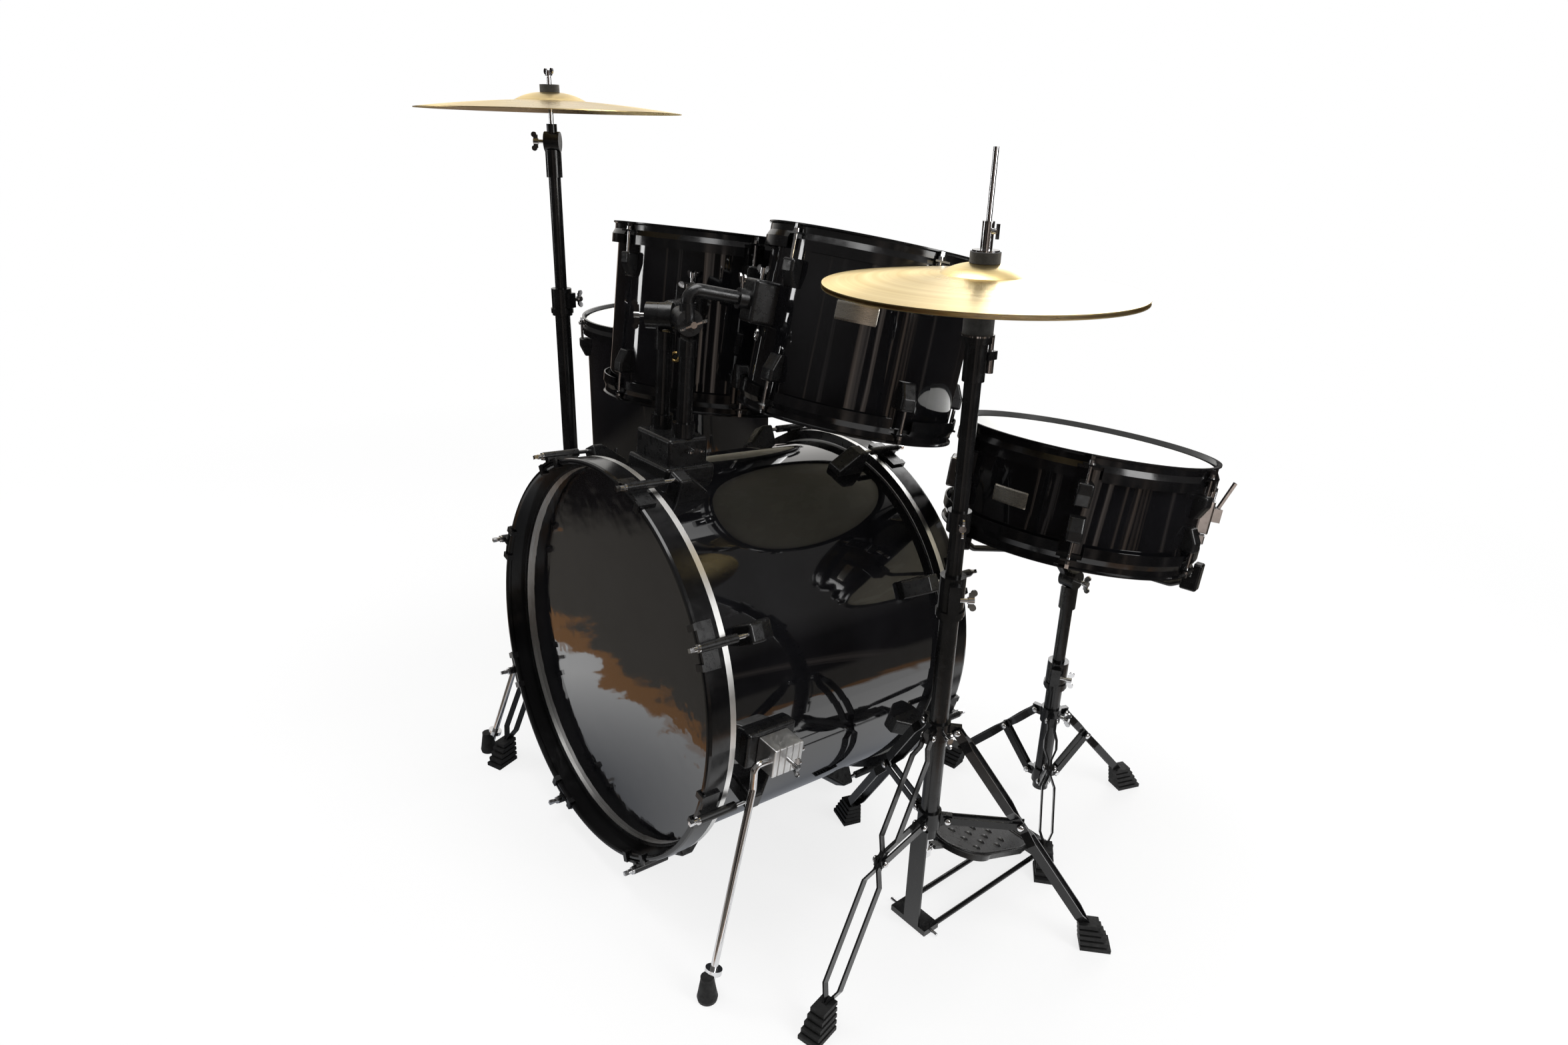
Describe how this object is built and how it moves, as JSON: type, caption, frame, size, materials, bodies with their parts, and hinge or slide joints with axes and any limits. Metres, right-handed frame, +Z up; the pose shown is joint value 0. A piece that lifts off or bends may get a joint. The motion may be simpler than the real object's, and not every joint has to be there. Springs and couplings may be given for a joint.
{
  "type": "acoustic drum kit",
  "caption": "Acoustic drum kit: bass drum with spurs and rack toms, floor tom, snare on a basket stand, pedal hi-hat and crash cymbal on tripod stands.",
  "frame": {"origin": "middle of the bounding box's base, on the floor", "axes": "+X to the audience's right, +Y towards the drummer, +Z up"},
  "size_m": [1.5858, 0.8945, 1.1404],
  "materials": {
    "black_wrap": "wood shell with gloss black wrap",
    "front_head": "gloss black polyester film",
    "coated_head": "white coated polyester film",
    "chrome": "polished chrome plate",
    "black_casting": "satin black moulding",
    "hoop_black": "satin black powder coat",
    "stand_black": "satin black paint",
    "rubber": "moulded rubber",
    "cymbal_brass": "lathed brass"
  },
  "bodies": {
    "kit_base": {"bass_shell": "black_wrap", "bass_front_head": "front_head", "bass_batter_head": "coated_head", "bass_flesh_hoops": "chrome", "bass_hoops": "hoop_black", "bass_claws": "stand_black", "bass_rods": "chrome", "bass_lugs": "black_casting", "spur_brackets": "black_casting", "tom_mount_base": "black_casting", "floor_tom_legs": "chrome", "hihat_tube": "stand_black", "hihat_legs": "stand_black", "hihat_feet": "rubber", "pedal_frame": "stand_black", "crash_tube": "stand_black", "crash_legs": "stand_black", "crash_feet": "rubber", "snare_stand_tube": "stand_black", "snare_stand_legs": "stand_black", "snare_stand_feet": "rubber"},
    "spur_right": {"spur_right": "chrome"},
    "spur_left": {"spur_left": "chrome"},
    "tom_post_high": {"tom_post_high": "stand_black"},
    "tom_post_mid": {"tom_post_mid": "stand_black"},
    "tom_high": {"tom_arm_high": "black_casting", "tom_high_shell": "black_wrap", "tom_high_heads": "coated_head", "tom_high_hoops": "hoop_black", "tom_high_rods": "chrome", "tom_high_lugs": "black_casting"},
    "tom_mid": {"tom_arm_mid": "black_casting", "tom_mid_shell": "black_wrap", "tom_mid_heads": "coated_head", "tom_mid_hoops": "hoop_black", "tom_mid_rods": "chrome", "tom_mid_lugs": "black_casting"},
    "floor_tom": {"floor_tom_shell": "black_wrap", "floor_tom_heads": "coated_head", "floor_tom_hoops": "hoop_black", "floor_tom_rods": "chrome", "floor_tom_lugs": "black_casting"},
    "snare_stand_top": {"snare_stand_upper": "stand_black"},
    "snare": {"snare_basket": "stand_black", "snare_shell": "black_wrap", "snare_heads": "coated_head", "snare_hoops": "hoop_black", "snare_rods": "chrome", "snare_lugs": "black_casting", "snare_wires": "chrome", "snare_strainer": "chrome"},
    "snare_lever": {"snare_lever": "chrome"},
    "hihat_top": {"hihat_upper": "stand_black", "hihat_bottom_cymbal": "cymbal_brass"},
    "hihat_rod": {"hihat_rod": "chrome", "hihat_top_cymbal": "cymbal_brass"},
    "pedal_board": {"pedal_footboard": "stand_black"},
    "crash_top": {"crash_upper": "stand_black"},
    "crash_tilter": {"crash_tilter": "stand_black"},
    "crash_cymbal": {"crash_cymbal": "cymbal_brass"}
  },
  "joints": [
    {"name": "spur_right_fold", "type": "hinge", "parent": "kit_base", "child": "spur_right", "pos_m": [0.47853, -0.33154, 0.30719], "axis": [0, -0.9976, 0.0698], "range_deg": [0, 85]},
    {"name": "spur_left_fold", "type": "hinge", "parent": "kit_base", "child": "spur_left", "pos_m": [-0.15472, -0.33154, 0.30719], "axis": [0, 0.9976, -0.0698], "range_deg": [0, 85]},
    {"name": "tom_post_high_height", "type": "slide", "parent": "kit_base", "child": "tom_post_high", "axis": [0, 0.0698, 0.9976], "range_m": [0, 0.05]},
    {"name": "tom_post_mid_height", "type": "slide", "parent": "kit_base", "child": "tom_post_mid", "axis": [0, 0.0698, 0.9976], "range_m": [0, 0.05]},
    {"name": "tom_high_tilt", "type": "hinge", "parent": "tom_post_high", "child": "tom_high", "pos_m": [0.18775, -0.23115, 0.81601], "axis": [-0.957, 0.2902, 0], "range_deg": [-3, 2]},
    {"name": "tom_mid_tilt", "type": "hinge", "parent": "tom_post_mid", "child": "tom_mid", "pos_m": [0.1345, -0.23122, 0.81601], "axis": [0.7167, 0.6973, 0], "range_deg": [-2, 6]},
    {"name": "floor_tom_height", "type": "slide", "parent": "kit_base", "child": "floor_tom", "axis": [0, 0, 1], "range_m": [-0.05, 0.05]},
    {"name": "snare_stand_height", "type": "slide", "parent": "kit_base", "child": "snare_stand_top", "axis": [0, 0, 1], "range_m": [-0.006, 0.03]},
    {"name": "snare_tilt", "type": "hinge", "parent": "snare_stand_top", "child": "snare", "pos_m": [0.5219, 0.25355, 0.426], "axis": [1, 0, 0], "range_deg": [-10, 1]},
    {"name": "snare_lever_throw", "type": "hinge", "parent": "snare", "child": "snare_lever", "pos_m": [0.67604, 0.36079, 0.55891], "axis": [-0.5736, 0.8049, -0.1525], "range_deg": [0, 75]},
    {"name": "hihat_height", "type": "slide", "parent": "kit_base", "child": "hihat_top", "axis": [0, 0, 1], "range_m": [-0.03, 0.06]},
    {"name": "hihat_rod_slide", "type": "slide", "parent": "hihat_top", "child": "hihat_rod", "axis": [0, 0, 1], "range_m": [0, 0.02], "stiffness_N_per_m": 500, "springref_m": 0.0269},
    {"name": "pedal_press", "type": "hinge", "parent": "kit_base", "child": "pedal_board", "pos_m": [0.5769, 0.14555, 0.018], "axis": [-1, 0, 0], "range_deg": [0, 4.8]},
    {"name": "crash_height", "type": "slide", "parent": "kit_base", "child": "crash_top", "axis": [0, 0, 1], "range_m": [-0.05, 0.12]},
    {"name": "crash_tilt", "type": "hinge", "parent": "crash_top", "child": "crash_tilter", "pos_m": [-0.2141, -0.21445, 1.035], "axis": [0.6309, 0.7759, 0], "range_deg": [-20, 20]},
    {"name": "crash_spin", "type": "hinge", "parent": "crash_tilter", "child": "crash_cymbal", "pos_m": [-0.2141, -0.21445, 1.079], "axis": [0, 0, 1], "continuous": true}
  ],
  "couplings": [
    {"joint": "pedal_press", "follows": "hihat_rod_slide", "rad_per_m": 4.17}
  ]
}
